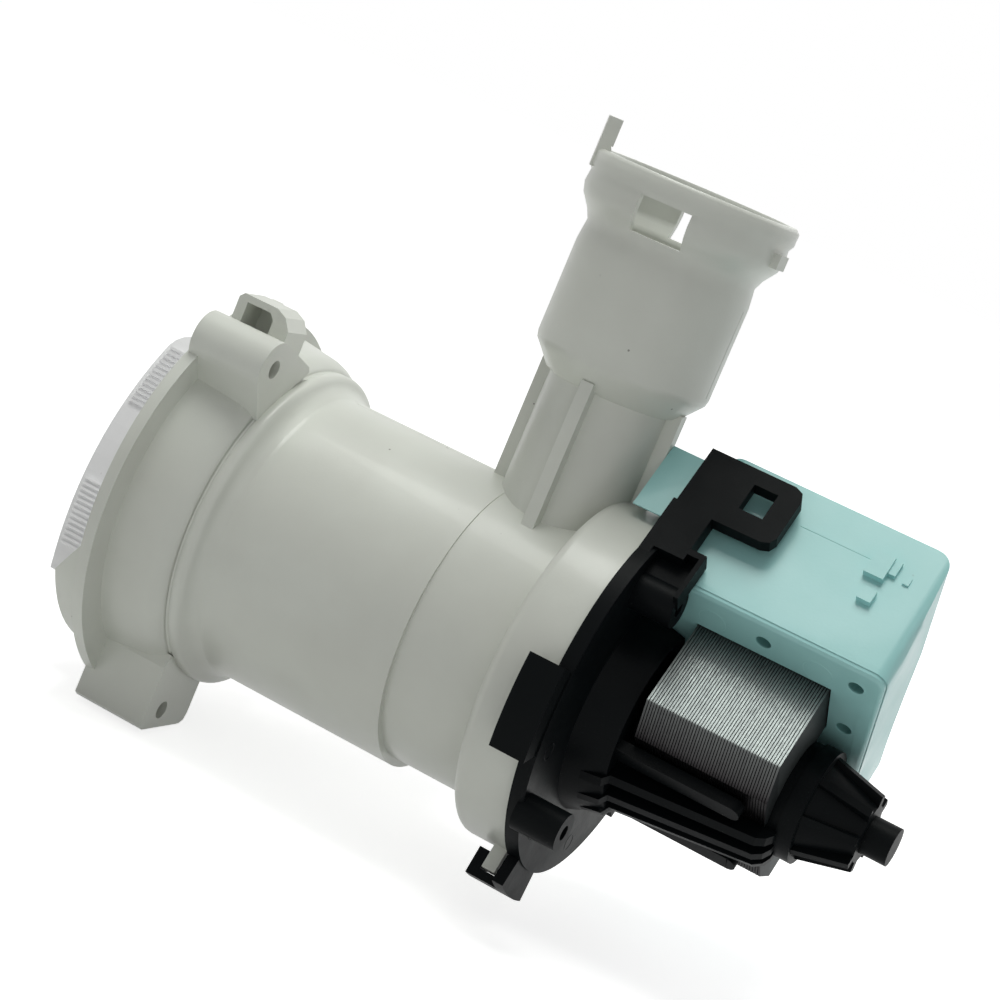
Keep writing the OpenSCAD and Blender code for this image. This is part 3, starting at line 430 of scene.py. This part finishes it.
def finish_nodes():
    """Gives each CAD node its material, and the mouldings that show their softened edges."""
    for name, material in FINISH.items():
        obj = nodes[name]
        obj.data.materials.clear()
        obj.data.materials.append(material)
        if name in EDGE:
            soften(obj, EDGE[name])


def make_core():
    """The core as its separate plates, each a hair out of line, in place of the one CAD solid."""
    solid = nodes["stator_core"].data
    low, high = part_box("stator_core")
    length = high[1] - low[1]
    count = round(length / PLATE_PITCH)
    step = length / count
    plate = PLATE_SHARE * step
    chance = random.Random(4)
    mesh = bmesh.new()
    for index in range(count):
        before = len(mesh.verts)
        mesh.from_mesh(solid)
        mesh.verts.ensure_lookup_table()
        slip = [chance.uniform(-PLATE_SLIP, PLATE_SLIP) for _ in range(2)]
        start = low[1] + index * step + (step - plate) / 2
        for vertex in mesh.verts[before:]:
            share = (vertex.co.y - low[1]) / length
            vertex.co = (vertex.co.x + slip[0], start + share * plate, vertex.co.z + slip[1])
    new_piece("core_plates", mesh, STEEL, "stator_core")


def lean_rear(mesh):
    """Leans the cover's rear wall forward towards its far side, and more so above the coils."""
    height_axis = on_motor(0, 0, 1).normalized()
    # The cover's low rim goes down to meet its lower half
    for vertex in mesh.verts:
        if abs(motor_height(vertex.co) - COVER_SEAM * MM) < 0.02 * MM:
            vertex.co -= height_axis * (0.05 * MM)
    bmesh.ops.bisect_plane(
        mesh, geom=mesh.verts[:] + mesh.edges[:] + mesh.faces[:], dist=0.0001 * MM,
        plane_co=height_axis * (COIL_TOP * MM), plane_no=height_axis,
    )
    for vertex in mesh.verts:
        if vertex.co.y < COVER_REAR * MM:
            continue
        above = max(0.0, motor_height(vertex.co) / MM - COIL_TOP) / (COVER_TOP - COIL_TOP)
        far = (COVER_HALF_WIDTH - motor_side(vertex.co) / MM) / (2 * COVER_HALF_WIDTH)
        lean = REAR_LEAN + REAR_LEAN_ABOVE * min(1.0, above)
        vertex.co.y -= lean * min(1.0, max(0.0, far)) * MM


def moulded_copy(name, reshape, chosen, radius):
    """A reshaped copy that stands for a CAD node, with the edges between chosen points rounded."""
    mesh = bmesh.new()
    mesh.from_mesh(nodes[name].data)
    bmesh.ops.remove_doubles(mesh, verts=mesh.verts, dist=SAME_PLACE)
    bmesh.ops.dissolve_limit(
        mesh, angle_limit=math.radians(0.6), verts=mesh.verts, edges=mesh.edges
    )
    edges = [
        edge for edge in mesh.edges
        if edge.calc_face_angle(0.0) > math.radians(40)
        and all(chosen(vertex.co) for vertex in edge.verts)
    ]
    bmesh.ops.bevel(
        mesh, geom=edges, offset=radius * MM, offset_type="OFFSET", segments=5, profile=0.5,
        affect="EDGES", clamp_overlap=True,
    )
    bmesh.ops.triangulate(mesh, faces=[face for face in mesh.faces if len(face.verts) > 4])
    reshape(mesh)
    bmesh.ops.triangulate(mesh, faces=mesh.faces)
    shade_smooth(mesh, 30)
    return new_piece(name + "_moulded", mesh, FINISH[name], name)


def make_cover():
    """The coil cover and its lower half, whose outer edge is rounded up into the cover's sides."""
    low = min(motor_height(vertex.co) for vertex in nodes["cover_base"].data.vertices)

    def on_outer_edge(place):
        beside = abs(motor_side(place)) > 29.5 * MM
        before_or_behind = place.y < COVER_FRONT * MM or place.y > 152.2 * MM
        return (beside or before_or_behind) and motor_height(place) - low < 0.01 * MM

    def on_top_edge(place):
        return motor_height(place) > (COVER_TOP - 0.1) * MM

    def deepen_pits(mesh):
        for vertex in mesh.verts:
            if 0.8 * MM < motor_height(vertex.co) - low < 1.0 * MM:
                vertex.co += on_motor(0, 0, PIT_DEEPENED)
        lean_rear(mesh)

    moulded_copy("cover_base", deepen_pits, on_outer_edge, COVER_EDGE_RADIUS)
    cover = moulded_copy(
        "coil_cover", lean_rear, on_top_edge, COVER_TOP_EDGE_RADIUS
    )
    soften(cover, 0)


def make_bead():
    """The rounded bead behind the filter chamber, with the steep rear side that the photo shows."""
    mesh = bmesh.new()
    rings = []
    for turn in range(BEAD_TURNS):
        angle = math.tau * turn / BEAD_TURNS
        across, up = math.cos(angle) * MM, math.sin(angle) * MM
        rings.append([
            mesh.verts.new((radius * across, along * MM, radius * up))
            for along, radius in BEAD_PROFILE
        ])
    for index, ring in enumerate(rings):
        following = rings[(index + 1) % BEAD_TURNS]
        for corner in range(len(BEAD_PROFILE)):
            after = (corner + 1) % len(BEAD_PROFILE)
            mesh.faces.new((ring[corner], ring[after], following[after], following[corner]))
    bmesh.ops.recalc_face_normals(mesh, faces=mesh.faces)
    shade_smooth(mesh, 40)
    new_piece("chamber_bead", mesh, GREY)


def strip(mesh, points, normal, width, height, closed=False):
    """A thin raised line of roof-shaped section, as the joint of two mould halves leaves it."""
    rows = []
    last = len(points) - 1
    sunk = normal * (-0.03 * MM)
    for index, point in enumerate(points):
        ahead = points[(index + 1) % len(points)] if closed or index < last else point
        behind = points[index - 1] if closed or index else point
        side = normal.cross(ahead - behind).normalized() * (width * MM / 2)
        rows.append([mesh.verts.new(place) for place in (
            point + side + sunk, point + normal * (height * MM), point - side + sunk
        )])
    for index in range(len(points) if closed else last):
        first, second = rows[index], rows[(index + 1) % len(points)]
        for corner in range(3):
            following = (corner + 1) % 3
            mesh.faces.new((first[corner], first[following], second[following], second[corner]))
    if not closed:
        mesh.faces.new(rows[0])
        mesh.faces.new(rows[-1][::-1])


def mould_marks(name, material, lines, rings):
    """Parting lines and the faint circles that ejector pins leave, on one moulding."""
    line_steps, line_width, line_height = 4, 0.36, 0.07
    ring_steps, ring_width, ring_height = 36, 0.3, 0.05
    circle = [math.tau * share / ring_steps for share in range(ring_steps)]
    mesh = bmesh.new()
    for start, end, normal in lines:
        points = [start.lerp(end, share / line_steps) for share in range(line_steps + 1)]
        strip(mesh, points, normal.normalized(), line_width, line_height)
    for centre, normal, radius in rings:
        turn = normal.to_track_quat("Z", "Y").to_matrix()
        points = [
            centre + turn @ Vector((math.cos(a), math.sin(a), 0)) * (radius * MM) for a in circle
        ]
        strip(mesh, points, normal.normalized(), ring_width, ring_height, closed=True)
    bmesh.ops.recalc_face_normals(mesh, faces=mesh.faces)
    new_piece(name, mesh, material)


def make_mould_marks():
    """The marks of the moulds on the housing, the coil cover and the motor carrier."""
    up, back = Vector((0, 0, 1)), Vector((0, 1, 0))

    def at(x, y, z):
        return Vector((x, y, z)) * MM

    front, rear, radius = MAIN_TUBE
    lines = [(at(0, front, z), at(0, rear, z), up * z) for z in (-radius, radius)]
    for front, rear, radius in (CHAMBER_UNDERSIDE, DRUM_UNDERSIDE):
        lines.append((at(0, front, -radius), at(0, rear, -radius), -up))
    low, high, radius = OUTLET_BELL
    for side in (-1, 1):
        along = OUTLET_AXIS_Y + side * radius
        lines.append((at(0, along, low), at(0, along, high), back * side))
    mould_marks("housing_marks", GREY, lines, [])

    side_face, top_face = on_motor(1, 0, 0), on_motor(0, 0, 1).normalized()
    cover_lines = [
        (on_motor(side, 124.2, 36.7), on_motor(side, 141.2, 36.7), side_face * side)
        for side in (-COVER_HALF_WIDTH, COVER_HALF_WIDTH)
    ]
    cover_rings = [
        (on_motor(side * 26.4, along, COVER_UNDERSIDE), -top_face, radius)
        for side in (-1, 1) for along, radius in ((118.2, 3.0), (141.5, 3.2))
    ] + [
        (on_motor(side * 24, along, COVER_TOP - 0.1), top_face, 2.5)
        for side in (-1, 1) for along in (112, 140)
    ] + [
        (on_motor(side, along, COVER_UNDERSIDE + 0.02), -top_face, 2.0) for side, along in PITS
    ]
    mould_marks("cover_marks", MINT, cover_lines, cover_rings)

    turns = [math.radians(turn) for turn in FLANGE_RING_TURNS]
    flange_rings = [
        (
            at(FLANGE_RING_RADIUS * math.cos(a), FLANGE_REAR_Y, FLANGE_RING_RADIUS * math.sin(a)),
            back, 1.8,
        )
        for a in turns
    ]
    mould_marks("carrier_marks", BLACK, [], flange_rings)


def camera_matrix():
    """The camera's place, with the roll by which the photograph's object lies tilted."""
    back = (CAMERA_AT - CAMERA_LOOKS_AT).normalized()
    right = Vector((0, 0, 1)).cross(back).normalized()
    up = back.cross(right)
    turned_right = math.cos(CAMERA_ROLL) * right + math.sin(CAMERA_ROLL) * up
    turned_up = -math.sin(CAMERA_ROLL) * right + math.cos(CAMERA_ROLL) * up
    matrix = Matrix((turned_right, turned_up, back)).transposed().to_4x4()
    matrix.translation = CAMERA_AT
    return matrix


def make_camera():
    data = bpy.data.cameras.new("camera")
    data.sensor_fit = "HORIZONTAL"
    data.sensor_width = SENSOR_WIDTH_MM
    data.lens = CAMERA_FOCAL_PX / PHOTO_WIDTH_PX * SENSOR_WIDTH_MM
    data.clip_start = 0.02
    data.clip_end = 20.0
    camera = new_object("camera", data)
    camera.matrix_world = camera_matrix()
    bpy.context.scene.camera = camera


def seen_directly(tree):
    """1 for rays from the camera, a mirror or a window, 0 for the light that falls on the object."""
    path = tree.nodes.new("ShaderNodeLightPath")
    seen = path.outputs["Is Camera Ray"]
    for kind in ("Is Glossy Ray", "Is Transmission Ray"):
        either = tree.nodes.new("ShaderNodeMath")
        either.operation = "MAXIMUM"
        tree.links.new(seen, either.inputs[0])
        tree.links.new(path.outputs[kind], either.inputs[1])
        seen = either.outputs[0]
    return seen


def make_stage():
    """A pale floor under the object, wide enough for every view, white where it has no shadow."""
    half_width, gap, glow = 6.0, 1.0 * MM, 0.75
    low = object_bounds()[0][2]
    mesh = bpy.data.meshes.new("floor")
    corners = [(x * half_width, y * half_width, 0) for x, y in ((-1, -1), (1, -1), (1, 1), (-1, 1))]
    mesh.from_pydata(corners, [], [(0, 1, 2, 3)])
    floor = new_object("floor", mesh)
    floor.location = (0, 0, low - gap)
    m = Material("floor_paint", 0.9)
    m.put(seen_directly(m.tree), m.shader.inputs["Emission Strength"])
    m.shader.inputs["Emission Color"].default_value = (glow, glow, glow, 1.0)
    tone = m.mix(m.noise(1.5), colour(222, 222, 222), colour(218, 218, 218))
    mesh.materials.append(m.finish(tone))


def area_light(name, at, size, power, tint=(1.0, 1.0, 1.0)):
    """A soft lamp that points at the object. Places and sizes in metres, power in watts."""
    towards = Vector((0.0, 0.08, 0.02))
    data = bpy.data.lights.new(name, "AREA")
    data.shape = "RECTANGLE"
    data.size, data.size_y = size
    data.energy = power
    data.color = tint
    light = new_object(name, data)
    light.location = at
    light.rotation_euler = (towards - Vector(at)).to_track_quat("-Z", "Y").to_euler()


def make_light():
    """A key lamp above, two weak ones, and a world that lights at one level and is seen as white."""
    lit_level, seen_level = 0.27, 1.0
    area_light("key", (0.05, -0.05, 1.1), (0.6, 0.6), 7.2, (0.98, 1.0, 0.96))
    area_light("side", (0.9, 0.6, 0.3), (0.5, 0.8), 0.4)
    area_light("rear", (-0.7, 0.5, 0.6), (0.6, 0.6), 1.0)
    world = bpy.data.worlds.new("studio")
    world.use_nodes = True
    tree = world.node_tree
    background = tree.nodes["Background"]
    background.inputs["Color"].default_value = (1, 1, 1, 1)
    level = tree.nodes.new("ShaderNodeMapRange")
    level.inputs["To Min"].default_value = lit_level
    level.inputs["To Max"].default_value = seen_level
    tree.links.new(seen_directly(tree), level.inputs["Value"])
    tree.links.new(level.outputs["Result"], background.inputs["Strength"])
    bpy.context.scene.world = world


finish_nodes()
make_core()
make_cover()
make_bead()
make_mould_marks()
make_camera()
make_stage()
make_light()
bpy.context.scene.view_settings.view_transform = "Standard"
